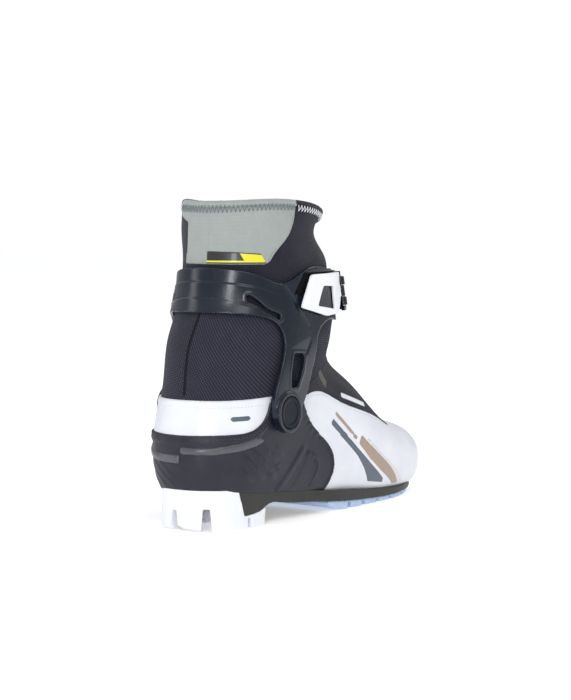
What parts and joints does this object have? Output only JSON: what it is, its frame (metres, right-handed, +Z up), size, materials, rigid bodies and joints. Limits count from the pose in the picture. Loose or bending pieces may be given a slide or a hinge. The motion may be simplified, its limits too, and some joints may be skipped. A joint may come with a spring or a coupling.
{
  "type": "cross country ski boot",
  "caption": "Combi cross country ski boot, right foot, with a hinged ankle cuff, closing strap, zipped lace cover and a rubber-treaded sole with a toe bar.",
  "frame": {"origin": "centre of the bottom of the boot's bounding box, on the floor it stands on", "axes": "+X towards the toe, +Y towards the inner (medial) side of this right boot, +Z up"},
  "size_m": [0.2802, 0.111, 0.2283],
  "materials": {
    "vamp_shell": "smooth white synthetic leather",
    "heel_counter": "moulded charcoal rubberised shell",
    "heel_panel": "smooth white synthetic leather",
    "instep_cover": "black softshell",
    "ankle_sleeve": "navy-black ribbed mesh",
    "shaft_shell": "black softshell",
    "shaft_lining": "brushed lining",
    "collar_binding": "soft knitted edging",
    "toe_puff": "thermoplastic stiffener",
    "heel_stiffener": "thermoplastic stiffener",
    "foot_lining": "padded brushed lining",
    "lasting_board": "fibre board",
    "footbed": "felted foam",
    "outsole_plate": "dark olive-grey moulded sole plate",
    "heel_tread": "white rubber",
    "forefoot_tread": "pale blue rubber",
    "toe_bar": "ground stainless",
    "shank_plate": "spring steel",
    "pivot_rivets": "satin dark",
    "pivot_washers": "natural nylon",
    "cuff_shell": "satin blue-black",
    "slate_stripe": "satin film",
    "tan_stripe": "bronze film",
    "collar_panel": "sage-grey knit",
    "label_patch": "plain two-tone film",
    "instep_tape": "olive webbing",
    "hook_pad": "hook fastener",
    "cuff_strap": "satin",
    "strap_tab": "satin white",
    "strap_anchor": "satin",
    "strap_pin": "ground",
    "tab_keeper": "satin",
    "tab_pin": "ground",
    "zip_tape": "woven tape",
    "zip_chain": "coil",
    "zip_slider": "black enamel",
    "zip_pull": "black enamel"
  },
  "bodies": {
    "boot": {"vamp_shell": "vamp_shell", "heel_counter": "heel_counter", "heel_panel": "heel_panel", "instep_cover": "instep_cover", "ankle_sleeve": "ankle_sleeve", "toe_puff": "toe_puff", "heel_stiffener": "heel_stiffener", "foot_lining": "foot_lining", "lasting_board": "lasting_board", "footbed": "footbed", "outsole_plate": "outsole_plate", "heel_tread": "heel_tread", "forefoot_tread": "forefoot_tread", "toe_bar": "toe_bar", "shank_plate": "shank_plate", "pivot_rivets": "pivot_rivets", "pivot_washers": "pivot_washers", "slate_stripe": "slate_stripe", "tan_stripe": "tan_stripe", "instep_tape": "instep_tape", "zip_tape": "zip_tape", "zip_chain": "zip_chain"},
    "cuff": {"cuff_shell": "cuff_shell", "shaft_shell": "shaft_shell", "shaft_lining": "shaft_lining", "collar_binding": "collar_binding", "collar_panel": "collar_panel", "label_patch": "label_patch", "hook_pad": "hook_pad", "strap_anchor": "strap_anchor", "strap_pin": "strap_pin"},
    "strap": {"cuff_strap": "cuff_strap", "tab_keeper": "tab_keeper", "tab_pin": "tab_pin"},
    "tab": {"strap_tab": "strap_tab"},
    "slider": {"zip_slider": "zip_slider", "zip_pull": "zip_pull"}
  },
  "joints": [
    {"name": "cuff_pivot", "type": "hinge", "parent": "boot", "child": "cuff", "pos_m": [-0.07594, -0.00247, 0.08], "axis": [0, 1, 0], "range_deg": [-8, 15], "stiffness_Nm_per_rad": 4, "deforming": ["ankle_sleeve"]},
    {"name": "strap_swing", "type": "hinge", "parent": "cuff", "child": "strap", "pos_m": [-0.03894, 0.05293, 0.162], "axis": [0, 0, 1], "range_deg": [0, 100]},
    {"name": "tab_lift", "type": "hinge", "parent": "strap", "child": "tab", "pos_m": [-0.00194, -0.04767, 0.162], "axis": [0, 0.1547, 0.988], "range_deg": [0, 60]},
    {"name": "zip_slide", "type": "slide", "parent": "boot", "child": "slider", "axis": [0.8038, 0, -0.595], "range_m": [0, 0.0443]}
  ]
}
